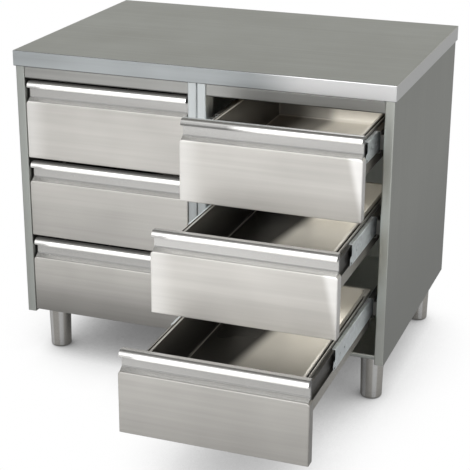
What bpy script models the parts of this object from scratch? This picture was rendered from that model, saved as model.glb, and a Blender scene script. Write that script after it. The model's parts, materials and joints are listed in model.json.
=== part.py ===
"""Stainless steel drawer cabinet: two modules of three drawers under one worktop, on levelling feet.

Metres, +Z up, the fronts face -Y. Sizes below are given in the cabinet's own place: x 0 is the middle of the
width, y 0 the front edge of the worktop and z 0 the floor. The parent empty then sets the origin on the floor
at the middle of the whole outline, with the right-hand drawers standing open.
"""

import math

import bmesh
import bpy
from mathutils import Matrix, Vector

# Overall size
WIDTH = 1.000
DEPTH = 0.700
HEIGHT = 0.850

# Sheet metal
SHEET = 0.0012
BEND = 0.0025
BOX_SHEET = 0.0010
FIT = 0.0003
BEND_STEPS = 3

# Worktop
EDGE_HEIGHT = 0.040
EDGE_HEM = 0.018
EDGE_ROUND = 0.002
CORE_THICKNESS = 0.018
CORE_GAP = 0.003
SIDE_OVERHANG = 0.004
FRONT_OVERHANG = 0.005
REAR_OVERHANG = 0.005

# Carcass
FOOT_HEIGHT = 0.130
BASE_HEIGHT = 0.012
POST_WIDTH = 0.024
POST_DEPTH = 0.050
REAR_FLANGE = 0.020
UPRIGHT_FLANGE = 0.025
SEAM = 0.0006
TOP_RAIL_HEIGHT = 0.032
TOP_RAIL_SETBACK = 0.003
TOP_RAIL_LEDGE = 0.015
TOP_RAIL_RETURN = 0.025
BOTTOM_RAIL_HEM = 0.012

# Drawer fronts
ROWS = ("bottom", "middle", "top")
ROW_GAP = 0.0125
TOP_GAP = 0.0085
BASE_REVEAL = 0.007
FRONT_SIDE_GAP = 0.001
FRONT_DEPTH = 0.025
FRONT_HEM = 0.015
FRONT_BACK_FLANGE = 0.045
HANDLE_INSET = 0.004
LIP_HEIGHT = 0.016
LIP_ROUND = 0.012
RECESS_HEIGHT = 0.027
RECESS_DEPTH = 0.016
LEDGE_DROP = 0.007
LEDGE_FOOTING = 0.004
FACE_ROUND = 0.004
FACE_CORNER = 0.009

# Drawer boxes
BOX_DROP = 0.036
BOX_REAR_GAP = 0.010
BOX_APRON = 0.100
BOX_RIM = 0.0135
BOX_ROUND = 0.003
RIM_SLOT = 0.005
RIM_SLOT_END = 0.050
BASIN_FLANGE = 0.006
BASIN_DEPTH = 0.109
BASIN_DRAFT = 0.004
BASIN_ROUND = 0.010

# Telescopic slides
SLIDE_HEIGHT = 0.056
SLIDE_STANDOFF = 0.013
SLIDE_THICKNESS = 0.019
SLIDE_SHEET = 0.0015
SLIDE_BEND = 0.002
SLIDE_DROP = 0.005
SLIDE_FRONT_GAP = 0.003
SLIDE_REAR_GAP = 0.062
RUNNING_GAP = 0.0005
OUTER_FLANGE = 0.0145
MIDDLE_SETBACK = 0.007
MIDDLE_FLANGE = 0.0165
INNER_FLANGE = 0.0085
SPACER_LENGTH = 0.025
SPACER_HEIGHT = 0.036
NOSE_LENGTH = 0.016
NOSE_HEIGHT = 0.014
NOSE_HOOK = 0.006
NOSE_RISE = 0.010
SLIDE_HOLE = 0.007
SLIDE_HOLE_PITCH = 0.036
SLIDE_HOLES = 2
HOLE_SIDES = 10

# How far the drawers stand open, and the share of it that the slides' middle members make
TOP_OPENING = 0.178
MIDDLE_OPENING = 0.357
BOTTOM_OPENING = 0.548
OPENINGS = {
    ("left", "top"): 0.0,
    ("left", "middle"): 0.0,
    ("left", "bottom"): 0.0,
    ("right", "top"): TOP_OPENING,
    ("right", "middle"): MIDDLE_OPENING,
    ("right", "bottom"): BOTTOM_OPENING,
}
MIDDLE_SHARE = 0.6

# Feet
FOOT_INSET_SIDE = 0.050
FOOT_INSET_FRONT = 0.090
FOOT_INSET_REAR = 0.075
LEG_TOP_RADIUS = 0.0305
LEG_FOOT_RADIUS = 0.0280
LEG_WALL = 0.0015
LEG_FLANGE_RADIUS = 0.037
LEG_FLANGE_THICKNESS = 0.003
ADJUSTER_HEIGHT = 0.020
ADJUSTER_ROUND = 0.006
ADJUSTER_PLUG = 0.045
TURN_STEPS = 20
ROUND_STEPS = 3

# Places worked out from the sizes above
CARCASS_TOP = HEIGHT - EDGE_HEIGHT
CARCASS_HALF = WIDTH / 2 - SIDE_OVERHANG
CARCASS_FRONT = FRONT_OVERHANG
CARCASS_BACK = DEPTH - REAR_OVERHANG
BASE_TOP = FOOT_HEIGHT + BASE_HEIGHT
PANEL_BACK = CARCASS_BACK - SHEET - FIT
PANEL_FRONT = PANEL_BACK - SHEET
POST_BACK = CARCASS_FRONT + POST_DEPTH
OPENING = CARCASS_HALF - SEAM / 2 - 2 * POST_WIDTH
BAY_CENTRE = (CARCASS_HALF + SEAM / 2) / 2
FRONT_WIDTH = OPENING - 2 * FRONT_SIDE_GAP
FRONTS_HEIGHT = CARCASS_TOP - TOP_RAIL_HEIGHT - TOP_GAP - FOOT_HEIGHT - BASE_REVEAL
FRONT_HEIGHT = (FRONTS_HEIGHT - (len(ROWS) - 1) * ROW_GAP) / len(ROWS)
FACE_HEIGHT = FRONT_HEIGHT - LIP_HEIGHT - RECESS_HEIGHT - LEDGE_DROP
SLIDE_START = FRONT_DEPTH + SLIDE_FRONT_GAP
SLIDE_LENGTH = CARCASS_BACK - CARCASS_FRONT - SLIDE_START - SLIDE_REAR_GAP
SLIDE_END = CARCASS_FRONT + SLIDE_START + SLIDE_LENGTH
SLIDE_SEAT = FIT + SLIDE_STANDOFF
BOX_WIDTH = OPENING - 2 * (SLIDE_SEAT + SLIDE_THICKNESS)
BOX_TOP = FRONT_HEIGHT - BOX_DROP
BOX_FRONT = FRONT_DEPTH + FIT
BOX_BACK = SLIDE_START + SLIDE_LENGTH - BOX_REAR_GAP
SLIDE_TOP = BOX_TOP - SLIDE_DROP
MIDDLE_INSET = NOSE_LENGTH + FIT
MIDDLE_HEIGHT = SLIDE_HEIGHT - 2 * (SLIDE_SHEET + RUNNING_GAP)
INNER_HEIGHT = MIDDLE_HEIGHT - 2 * (SLIDE_SHEET + RUNNING_GAP)
LEG_TOP = BASE_TOP - SHEET - FIT
OUTLINE_MIDDLE = (CARCASS_FRONT - max(OPENINGS.values()) + DEPTH) / 2

# Local x, y and z of a flat outline, and the direction it is drawn out in
ALONG_X = Matrix(((0, 0, 1, 0), (1, 0, 0, 0), (0, 1, 0, 0), (0, 0, 0, 1)))
ALONG_Y = Matrix(((1, 0, 0, 0), (0, 0, 1, 0), (0, 1, 0, 0), (0, 0, 0, 1)))
ALONG_Z = Matrix.Identity(4)


def start_scene():
    """Empties the scene and returns the collections for the parts and for the cutters."""
    for old in list(bpy.data.objects):
        bpy.data.objects.remove(old)
    parts = bpy.data.collections.new("stainless_drawer_cabinet")
    cutters = bpy.data.collections.new("cutters")
    for collection in (parts, cutters):
        bpy.context.scene.collection.children.link(collection)
    return parts, cutters


def metal(name, colour, roughness, metallic=1.0):
    """A Principled material with one colour."""
    material = bpy.data.materials.new(name)
    material.use_nodes = True
    shader = material.node_tree.nodes["Principled BSDF"]
    shader.inputs["Base Color"].default_value = (*colour, 1.0)
    shader.inputs["Roughness"].default_value = roughness
    shader.inputs["Metallic"].default_value = metallic
    return material


def tidy(mesh):
    """Welds a mesh's loose caps and turns its faces outwards."""
    work = bmesh.new()
    work.from_mesh(mesh)
    bmesh.ops.remove_doubles(work, verts=work.verts, dist=1e-6)
    bmesh.ops.recalc_face_normals(work, faces=work.faces)
    work.to_mesh(mesh)
    work.free()
    mesh.shade_flat()
    return mesh


def evaluated_mesh(thing):
    """The finished mesh of an object that then goes."""
    bpy.context.scene.collection.objects.link(thing)
    bpy.context.view_layer.update()
    seen = thing.evaluated_get(bpy.context.evaluated_depsgraph_get())
    mesh = bpy.data.meshes.new_from_object(seen)
    bpy.data.objects.remove(thing)
    return tidy(mesh)


def drawn_out(name, outline, direction, low, high):
    """A flat outline drawn out from low to high along one of the axes."""
    curve = bpy.data.curves.new(name, "CURVE")
    curve.dimensions = "2D"
    curve.fill_mode = "BOTH"
    curve.extrude = (high - low) / 2
    spline = curve.splines.new("POLY")
    spline.points.add(len(outline) - 1)
    for point, (u, v) in zip(spline.points, outline):
        point.co = (u, v, 0.0, 1.0)
    spline.use_cyclic_u = True
    mesh = evaluated_mesh(bpy.data.objects.new(name, curve))
    mesh.transform(direction @ Matrix.Translation((0, 0, (low + high) / 2)))
    return tidy(mesh)


def left_of(direction):
    """The unit vector to the left of a flat direction."""
    return Vector((-direction.y, direction.x))


def bent(corners):
    """Points of a bent line and their left-hand normals, from its corners as (u, v, bend radius)."""
    points = []
    normals = []
    places = [Vector(corner[:2]) for corner in corners]
    for index, (here, corner) in enumerate(zip(places, corners)):
        if index in (0, len(corners) - 1):
            first = min(index, len(corners) - 2)
            points.append(here)
            normals.append(left_of((places[first + 1] - places[first]).normalized()))
            continue
        into = (here - places[index - 1]).normalized()
        out = (places[index + 1] - here).normalized()
        turn = math.atan2(into.cross(out), into.dot(out))
        radius = corner[2]
        side = math.copysign(1.0, turn)
        start = here - into * radius * math.tan(abs(turn) / 2)
        centre = start + left_of(into) * radius * side
        for step in range(BEND_STEPS + 1):
            normal = left_of(into)
            normal.rotate(Matrix.Rotation(turn * step / BEND_STEPS, 2))
            points.append(centre - normal * radius * side)
            normals.append(normal)
    return points, normals


def folded(corners, thickness):
    """Closed outline of a folded strip, from the corners of its centre line."""
    points, normals = bent(corners)
    half = thickness / 2
    outer = [point + normal * half for point, normal in zip(points, normals)]
    inner = [point - normal * half for point, normal in zip(points, normals)]
    return [tuple(point) for point in outer + inner[::-1]]


def block(name, low, high):
    """A box between two corners."""
    work = bmesh.new()
    size = Vector(high) - Vector(low)
    middle = (Vector(high) + Vector(low)) / 2
    bmesh.ops.create_cube(work, size=1.0, matrix=Matrix.Translation(middle) @ Matrix.Diagonal((*size, 1.0)))
    mesh = bpy.data.meshes.new(name)
    work.to_mesh(mesh)
    work.free()
    return mesh


def rounded(mesh, radius, chosen, segments=ROUND_STEPS):
    """Rounds the edges of a mesh whose two ends both pass the test."""
    work = bmesh.new()
    work.from_mesh(mesh)
    edges = [edge for edge in work.edges if chosen(edge.verts[0].co, edge.verts[1].co)]
    bmesh.ops.bevel(work, geom=edges, offset=radius, segments=segments, profile=0.5, affect="EDGES")
    work.to_mesh(mesh)
    work.free()
    return mesh


def combined(name, base, steps):
    """A mesh with others joined to it or cut from it, in order, as (operation, mesh)."""
    thing = bpy.data.objects.new(name, base)
    tools = []
    for operation, mesh in steps:
        tool = bpy.data.objects.new(name + "_tool", mesh)
        bpy.context.scene.collection.objects.link(tool)
        tools.append(tool)
        modifier = thing.modifiers.new(operation.lower(), "BOOLEAN")
        modifier.operation = operation
        modifier.solver = "EXACT"
        modifier.object = tool
    mesh = evaluated_mesh(thing)
    for tool in tools:
        bpy.data.objects.remove(tool)
    return mesh


class Cabinet:
    """Puts the cabinet's pieces in the scene, each as one named object."""

    def __init__(self):
        self.parts, self.cutters = start_scene()
        self.origin = self.empty("cabinet_origin", None, (0, -OUTLINE_MIDDLE, 0))

    def empty(self, name, parent, location):
        """A parent that carries pieces at a place."""
        holder = bpy.data.objects.new(name, None)
        holder.parent = parent
        holder.location = location
        self.parts.objects.link(holder)
        return holder

    def piece(self, name, mesh, material, parent=None, location=(0, 0, 0)):
        """One sub-part, made of a mesh and a material."""
        thing = bpy.data.objects.new(name, mesh)
        thing.parent = parent or self.origin
        thing.location = location
        if not mesh.materials:
            mesh.materials.append(material)
        self.parts.objects.link(thing)
        return thing

    def cut(self, thing, name, mesh):
        """A Boolean cut that stays on its object, with its cutter kept out of sight."""
        cutter = bpy.data.objects.new(name, mesh)
        cutter.parent = self.origin
        cutter.hide_render = True
        cutter.display_type = "WIRE"
        self.cutters.objects.link(cutter)
        modifier = thing.modifiers.new(name, "BOOLEAN")
        modifier.operation = "DIFFERENCE"
        modifier.solver = "EXACT"
        modifier.object = cutter

    def worktop(self, steel, board):
        """Sheet top with its edge folded down and hemmed, and the board that stiffens it."""
        half = WIDTH / 2
        top = block("worktop", (-half, 0, CARCASS_TOP), (half, DEPTH, HEIGHT))
        rounded(top, EDGE_ROUND, lambda a, b: min(a.z, b.z) > CARCASS_TOP or a.z != b.z)
        sheet = self.piece("worktop", top, steel)
        hollow_low = (SHEET - half, SHEET, CARCASS_TOP + SHEET)
        hollow_high = (half - SHEET, DEPTH - SHEET, HEIGHT - SHEET)
        self.cut(sheet, "worktop_hollow", block("worktop_hollow", hollow_low, hollow_high))
        hem = SHEET + EDGE_HEM
        mouth_low = (hem - half, hem, CARCASS_TOP - EDGE_HEM)
        mouth_high = (half - hem, DEPTH - hem, CARCASS_TOP + 2 * SHEET)
        self.cut(sheet, "worktop_mouth", block("worktop_mouth", mouth_low, mouth_high))
        inset = SHEET + CORE_GAP
        core_top = HEIGHT - SHEET - FIT
        core_low = (inset - half, inset, core_top - CORE_THICKNESS)
        core_high = (half - inset, DEPTH - inset, core_top)
        self.piece("worktop_core", block("worktop_core", core_low, core_high), board)

    def side(self, name, skin, inward, back, low, steel):
        """A panel with its front edge folded into a post and its rear edge into a flange, seen from above."""
        post = skin + inward * (POST_WIDTH - SHEET / 2)
        face = skin + inward * SHEET / 2
        front = CARCASS_FRONT + SHEET / 2
        rear = back - SHEET / 2
        corners = (
            (post, POST_BACK, 0),
            (post, front, BEND),
            (face, front, BEND),
            (face, rear, BEND),
            (skin + inward * REAR_FLANGE, rear, 0),
        )
        mesh = drawn_out(name, folded(corners, SHEET), ALONG_Z, low, CARCASS_TOP - FIT)
        self.piece(name, mesh, steel)

    def upright(self, name, skin, inward, steel):
        """A Z-section post behind the drawers that carries the rear ends of the slides."""
        near = skin + inward * (SHEET + FIT + SHEET / 2)
        far = skin + inward * (POST_WIDTH - SHEET / 2)
        corners = (
            (near, SLIDE_END + UPRIGHT_FLANGE, 0),
            (near, SLIDE_END, BEND),
            (far, SLIDE_END, BEND),
            (far, SLIDE_END - UPRIGHT_FLANGE, 0),
        )
        mesh = drawn_out(name, folded(corners, SHEET), ALONG_Z, BASE_TOP + FIT, CARCASS_TOP - FIT)
        self.piece(name, mesh, steel)

    def panels(self, steel):
        """Sides, partitions and uprights of both modules, the back and the base."""
        skins = {"left": (-CARCASS_HALF, 1), "right": (CARCASS_HALF, -1)}
        inner = {"left": (-SEAM / 2, -1), "right": (SEAM / 2, 1)}
        for column, (skin, inward) in skins.items():
            self.side("side_panel_" + column, skin, inward, CARCASS_BACK, FOOT_HEIGHT, steel)
            self.upright(f"rear_upright_{column}_outer", skin, inward, steel)
        for column, (skin, inward) in inner.items():
            self.side("partition_" + column, skin, inward, PANEL_FRONT - FIT, BASE_TOP + FIT, steel)
            self.upright(f"rear_upright_{column}_inner", skin, inward, steel)
        reach = CARCASS_HALF - SHEET - BEND
        back = block("back_panel", (-reach, PANEL_FRONT, FOOT_HEIGHT), (reach, PANEL_BACK, CARCASS_TOP - FIT))
        self.piece("back_panel", back, steel)
        wide = CARCASS_HALF - SHEET - FIT
        tray_front = POST_BACK + FIT
        tray_back = PANEL_FRONT - FIT
        tray = block("base_tray", (-wide, tray_front, FOOT_HEIGHT), (wide, tray_back, BASE_TOP))
        tray = self.piece("base_tray", tray, steel)
        under_low = (SHEET - wide, tray_front + SHEET, FOOT_HEIGHT - BASE_HEIGHT)
        under_high = (wide - SHEET, tray_back - SHEET, BASE_TOP - SHEET)
        self.cut(tray, "base_tray_underside", block("base_tray_underside", under_low, under_high))

    def rails(self, steel):
        """Folded strips across the front: one under the worktop in each bay, one along the bottom."""
        top = CARCASS_TOP - FIT - SHEET / 2
        face = CARCASS_FRONT + TOP_RAIL_SETBACK + SHEET / 2
        foot = CARCASS_TOP - TOP_RAIL_HEIGHT + SHEET / 2
        corners = (
            (face + TOP_RAIL_LEDGE, top, 0),
            (face, top, BEND),
            (face, foot, BEND),
            (face + TOP_RAIL_RETURN, foot, 0),
        )
        reach = OPENING / 2 - FIT
        for column, side in (("left", -1), ("right", 1)):
            middle = side * BAY_CENTRE
            mesh = drawn_out("top_rail", folded(corners, SHEET), ALONG_X, middle - reach, middle + reach)
            self.piece("top_rail_" + column, mesh, steel)
        face = CARCASS_FRONT + FRONT_DEPTH + SLIDE_FRONT_GAP + SHEET / 2
        corners = (
            (POST_BACK, BASE_TOP - SHEET / 2, 0),
            (face, BASE_TOP - SHEET / 2, BEND),
            (face, FOOT_HEIGHT + SHEET / 2, BEND),
            (face + BOTTOM_RAIL_HEM, FOOT_HEIGHT + SHEET / 2, 0),
        )
        reach = CARCASS_HALF - POST_WIDTH - FIT
        mesh = drawn_out("bottom_rail", folded(corners, SHEET), ALONG_X, -reach, reach)
        self.piece("bottom_rail", mesh, steel)

    def feet(self, steel):
        """Tapered legs under the base, each with a levelling foot."""
        mouth = ADJUSTER_HEIGHT + FIT
        leg = (
            (LEG_FLANGE_RADIUS, LEG_TOP),
            (LEG_FLANGE_RADIUS, LEG_TOP - LEG_FLANGE_THICKNESS),
            (LEG_TOP_RADIUS, LEG_TOP - LEG_FLANGE_THICKNESS),
            (LEG_FOOT_RADIUS, mouth),
            (LEG_FOOT_RADIUS - LEG_WALL, mouth),
            (LEG_TOP_RADIUS - LEG_WALL, LEG_TOP - LEG_FLANGE_THICKNESS),
            (LEG_TOP_RADIUS - LEG_WALL, LEG_TOP),
        )
        plug = LEG_FOOT_RADIUS - LEG_WALL - FIT
        tread = LEG_FOOT_RADIUS - ADJUSTER_ROUND
        turns = [math.pi / 2 * step / ROUND_STEPS for step in range(ROUND_STEPS + 1)]
        edge = [
            (tread + ADJUSTER_ROUND * math.cos(turn), ADJUSTER_ROUND * (1 - math.sin(turn))) for turn in turns
        ]
        adjuster = (
            (0.0, ADJUSTER_PLUG),
            (plug, ADJUSTER_PLUG),
            (plug, ADJUSTER_HEIGHT),
            (LEG_FOOT_RADIUS, ADJUSTER_HEIGHT),
            *edge,
            (0.0, 0.0),
        )
        across = CARCASS_HALF - FOOT_INSET_SIDE
        rows = {"front": CARCASS_FRONT + FOOT_INSET_FRONT, "rear": CARCASS_BACK - FOOT_INSET_REAR}
        for row, y in rows.items():
            for column, side in (("left", -1), ("right", 1)):
                place = (side * across, y, 0)
                self.turned(f"foot_leg_{row}_{column}", leg, True, steel, place)
                self.turned(f"foot_adjuster_{row}_{column}", adjuster, False, steel, place)

    def turned(self, name, profile, closed, material, location):
        """A profile of (radius, height) turned about the vertical axis."""
        work = bmesh.new()
        points = [work.verts.new((radius, 0, height)) for radius, height in profile]
        ends = points[1:] + points[:1] if closed else points[1:]
        for first, second in zip(points, ends):
            work.edges.new((first, second))
        mesh = bpy.data.meshes.new(name)
        work.to_mesh(mesh)
        work.free()
        screw = self.piece(name, mesh, material, location=location).modifiers.new("turn", "SCREW")
        screw.steps = TURN_STEPS
        screw.render_steps = TURN_STEPS
        screw.use_merge_vertices = True
        screw.merge_threshold = 0.00001
        screw.use_smooth_shade = True

    def front_mesh(self):
        """Folded drawer front: a pan for the face, with the handle strip rising from its top edge."""
        half = FRONT_WIDTH / 2

        def pan(inset, front, back, corner, edge):
            """A box with rounded upper corners and a rounded rim at its front."""
            low = (inset - half, front, inset)
            high = (half - inset, back, FACE_HEIGHT - inset)
            mesh = block("front_pan", low, high)
            rounded(mesh, corner, lambda a, b: a.y != b.y and min(a.z, b.z) > FACE_HEIGHT / 2)
            return rounded(mesh, edge, lambda a, b: max(a.y, b.y) < front + FIT)

        face = pan(0.0, 0.0, FRONT_DEPTH, FACE_CORNER, FACE_ROUND)
        hollow = pan(SHEET, SHEET, 2 * FRONT_DEPTH, FACE_CORNER - SHEET, FACE_ROUND - SHEET)
        line = SHEET / 2
        top = FRONT_HEIGHT - line
        under = FRONT_HEIGHT - LIP_HEIGHT + line
        wall = RECESS_DEPTH + line
        rear = FRONT_DEPTH - line
        ledge = FRONT_HEIGHT - LIP_HEIGHT - RECESS_HEIGHT
        corners = (
            (rear, FRONT_HEIGHT - FRONT_BACK_FLANGE, 0),
            (rear, top, BEND),
            (line, top, LIP_ROUND),
            (line, under, BEND),
            (wall, under, BEND),
            (wall, ledge, BEND),
            (LEDGE_FOOTING, FACE_HEIGHT - line, 0),
        )
        reach = half - HANDLE_INSET
        steps = [
            ("DIFFERENCE", hollow),
            ("UNION", drawn_out("handle", folded(corners, SHEET), ALONG_X, -reach, reach)),
        ]
        end_outline = [tuple(point) for point in bent(corners)[0]] + [(rear, FACE_HEIGHT - line)]
        for low in (FIT - reach, reach - FIT - SHEET):
            steps.append(("UNION", drawn_out("handle_end", end_outline, ALONG_X, low, low + SHEET)))
        hem_low = (SHEET - half, FRONT_DEPTH - SHEET, line)
        hem_high = (half - SHEET, FRONT_DEPTH - FIT, FRONT_HEM)
        steps.append(("UNION", block("front_hem", hem_low, hem_high)))
        return combined("drawer_front", face, steps)

    def slide_section(self, height, near, reach):
        """A channel seen from its end: its web near the given distance in, its flanges out to the reach."""
        line = SLIDE_SHEET / 2
        web = near + line
        top = height / 2 - line
        corners = ((reach, top, 0), (web, top, SLIDE_BEND), (web, -top, SLIDE_BEND), (reach, -top, 0))
        return folded(corners, SLIDE_SHEET)

    def box_mesh(self):
        """Frame with an apron all round and a basin set in it, with the slides' inner members riveted on."""
        half = BOX_WIDTH / 2
        middle = (BOX_FRONT + BOX_BACK) / 2
        foot = BOX_TOP - BOX_APRON

        def ring(inset, low, high):
            """A block as large as the frame, less an inset all round."""
            return block("frame", (inset - half, BOX_FRONT + inset, low), (half - inset, BOX_BACK - inset, high))

        def basin(skin, top):
            """A block with leaning sides and rounded corners, larger than the basin's hollow by a skin."""
            mesh = ring(BOX_RIM - skin, BOX_TOP - BASIN_DEPTH - skin, top)
            for vertex in mesh.vertices:
                lean = BASIN_DRAFT * (BOX_TOP - vertex.co.z) / BASIN_DEPTH
                vertex.co.x -= math.copysign(lean, vertex.co.x)
                vertex.co.y -= math.copysign(lean, vertex.co.y - middle)
            rounded(mesh, BASIN_ROUND + skin, lambda a, b: abs(a.z - b.z) > BASIN_DEPTH / 2)
            return rounded(mesh, BASIN_ROUND + skin, lambda a, b: max(a.z, b.z) < foot)

        frame = ring(0.0, foot, BOX_TOP)
        rounded(frame, BOX_ROUND, lambda a, b: a.z != b.z)
        steps = [
            ("DIFFERENCE", ring(BOX_SHEET, foot - BOX_APRON, BOX_TOP - BOX_SHEET)),
            ("UNION", basin(BOX_SHEET, BOX_TOP - BOX_SHEET / 2)),
            ("UNION", ring(BOX_RIM - BASIN_FLANGE, BOX_TOP - BOX_SHEET / 2, BOX_TOP + BOX_SHEET)),
            ("DIFFERENCE", basin(0.0, BOX_TOP + BOX_RIM)),
        ]
        slot_far = half - (BOX_RIM - BASIN_FLANGE - RIM_SLOT) / 2
        slot_ends = (BOX_FRONT + RIM_SLOT_END, BOX_BACK - RIM_SLOT_END)
        for low in (-slot_far, slot_far - RIM_SLOT):
            slot_low = (low, slot_ends[0], BOX_TOP - 2 * BOX_SHEET)
            slot_high = (low + RIM_SLOT, slot_ends[1], BOX_TOP + 2 * BOX_SHEET)
            steps.append(("DIFFERENCE", block("rim_slot", slot_low, slot_high)))
        section = self.slide_section(INNER_HEIGHT, -BOX_SHEET / 2, INNER_FLANGE)
        for side in (-1, 1):
            rail = drawn_out("inner_rail", section, ALONG_Y, SLIDE_START, BOX_BACK - BOX_ROUND)
            rail.transform(Matrix.Diagonal((side, 1, 1, 1)))
            rail.transform(Matrix.Translation((side * half, 0, SLIDE_TOP - SLIDE_HEIGHT / 2)))
            steps.append(("UNION", tidy(rail)))
        return combined("drawer_box", frame, steps)

    def outer_rail_mesh(self, inward):
        """The slide member that is fixed to the post and the upright, over a spacer at each end."""
        section = self.slide_section(SLIDE_HEIGHT, SLIDE_SEAT, SLIDE_SEAT + OUTER_FLANGE)
        steps = []
        for start in (0, SLIDE_LENGTH - SPACER_LENGTH):
            spacer_low = (FIT, start, -SPACER_HEIGHT / 2)
            spacer_high = (SLIDE_SEAT + SLIDE_SHEET / 2, start + SPACER_LENGTH, SPACER_HEIGHT / 2)
            steps.append(("UNION", block("spacer", spacer_low, spacer_high)))
        mesh = combined("outer_rail", drawn_out("outer_rail", section, ALONG_Y, 0, SLIDE_LENGTH), steps)
        mesh.transform(Matrix.Diagonal((inward, 1, 1, 1)))
        return tidy(mesh)

    def middle_rail_mesh(self, inward):
        """The slide member that runs between, with a hooked nose and holes in its web."""
        near = SLIDE_SEAT + MIDDLE_SETBACK
        section = self.slide_section(MIDDLE_HEIGHT, near, SLIDE_SEAT + MIDDLE_FLANGE)
        channel = drawn_out("middle_rail", section, ALONG_Y, 0, SLIDE_LENGTH - MIDDLE_INSET)
        low = NOSE_RISE - MIDDLE_HEIGHT / 2
        neck = NOSE_LENGTH - NOSE_HOOK
        outline = (
            (NOSE_LENGTH, low),
            (NOSE_LENGTH, low + NOSE_HEIGHT),
            (-neck, low + NOSE_HEIGHT),
            (-NOSE_LENGTH, low + NOSE_HEIGHT - NOSE_HOOK),
            (-NOSE_LENGTH, low - NOSE_HOOK),
            (-neck, low - NOSE_HOOK),
            (-neck, low),
        )
        slack = SLIDE_SHEET / 8
        nose = drawn_out("nose", outline, ALONG_X, near + slack, near + SLIDE_SHEET - slack)
        steps = [("UNION", nose)]
        for index in range(1, SLIDE_HOLES + 1):
            steps.append(("DIFFERENCE", self.hole_mesh(near, index * SLIDE_HOLE_PITCH)))
        mesh = combined("middle_rail", channel, steps)
        mesh.transform(Matrix.Diagonal((inward, 1, 1, 1)))
        return tidy(mesh)

    def hole_mesh(self, x, y):
        """A round cutter through a slide's web."""
        work = bmesh.new()
        across = Matrix.Translation((x, y, 0)) @ Matrix.Rotation(math.pi / 2, 4, "Y")
        bmesh.ops.create_cone(
            work,
            cap_ends=True,
            segments=HOLE_SIDES,
            radius1=SLIDE_HOLE / 2,
            radius2=SLIDE_HOLE / 2,
            depth=4 * SLIDE_SHEET,
            matrix=across,
        )
        mesh = bpy.data.meshes.new("slide_hole")
        work.to_mesh(mesh)
        work.free()
        return mesh

    def drawers(self, front_steel, box_steel, zinc):
        """Six drawers with their slides, each carried by an empty at the place where it stands open."""
        front = self.front_mesh()
        box = self.box_mesh()
        hands = {"l": 1, "r": -1}
        outer = {hand: self.outer_rail_mesh(inward) for hand, inward in hands.items()}
        middle = {hand: self.middle_rail_mesh(inward) for hand, inward in hands.items()}
        slide_height = SLIDE_TOP - SLIDE_HEIGHT / 2
        for (column, row), opening in OPENINGS.items():
            name = f"{column}_{row}"
            bay = BAY_CENTRE if column == "right" else -BAY_CENTRE
            foot = FOOT_HEIGHT + BASE_REVEAL + ROWS.index(row) * (FRONT_HEIGHT + ROW_GAP)
            holder = self.empty("travel_" + name, self.origin, (bay, CARCASS_FRONT - opening, foot))
            self.piece("drawer_front_" + name, front, front_steel, holder)
            self.piece("drawer_box_" + name, box, box_steel, holder)
            start = CARCASS_FRONT + SLIDE_START
            carried = self.empty(
                "middle_travel_" + name,
                self.origin,
                (bay, start + MIDDLE_INSET - MIDDLE_SHARE * opening, foot + slide_height),
            )
            for hand, inward in hands.items():
                edge = -inward * OPENING / 2
                fixed = (bay + edge, start, foot + slide_height)
                self.piece(f"outer_rail_{name}_{hand}", outer[hand], zinc, location=fixed)
                self.piece(f"middle_rail_{name}_{hand}", middle[hand], zinc, carried, (edge, 0, 0))


def main():
    """Builds the cabinet piece by piece."""
    cabinet = Cabinet()
    top_steel = metal("worktop_steel", (0.42, 0.44, 0.43), 0.38)
    carcass_steel = metal("carcass_steel", (0.50, 0.52, 0.53), 0.36)
    front_steel = metal("front_steel", (0.66, 0.65, 0.63), 0.32)
    box_steel = metal("box_steel", (0.60, 0.58, 0.55), 0.30)
    zinc = metal("slide_zinc", (0.62, 0.64, 0.65), 0.35)
    board = metal("core_board", (0.55, 0.44, 0.30), 0.80, metallic=0.0)
    foot_steel = metal("foot_steel", (0.55, 0.55, 0.56), 0.30)
    cabinet.worktop(top_steel, board)
    cabinet.panels(carcass_steel)
    cabinet.rails(carcass_steel)
    cabinet.feet(foot_steel)
    cabinet.drawers(front_steel, box_steel, zinc)


main()
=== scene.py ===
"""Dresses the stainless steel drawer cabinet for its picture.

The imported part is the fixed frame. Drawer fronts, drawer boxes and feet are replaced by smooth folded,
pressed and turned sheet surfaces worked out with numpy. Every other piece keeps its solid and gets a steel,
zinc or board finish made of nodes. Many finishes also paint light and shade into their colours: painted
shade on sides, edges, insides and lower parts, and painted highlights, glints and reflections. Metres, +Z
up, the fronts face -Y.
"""

from __future__ import annotations

import json
import logging
import math
from dataclasses import dataclass, field, replace
from enum import Enum
from typing import Any, Sequence, Union

import bmesh
import bpy
import numpy as np
from mathutils import Matrix, Vector

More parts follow.
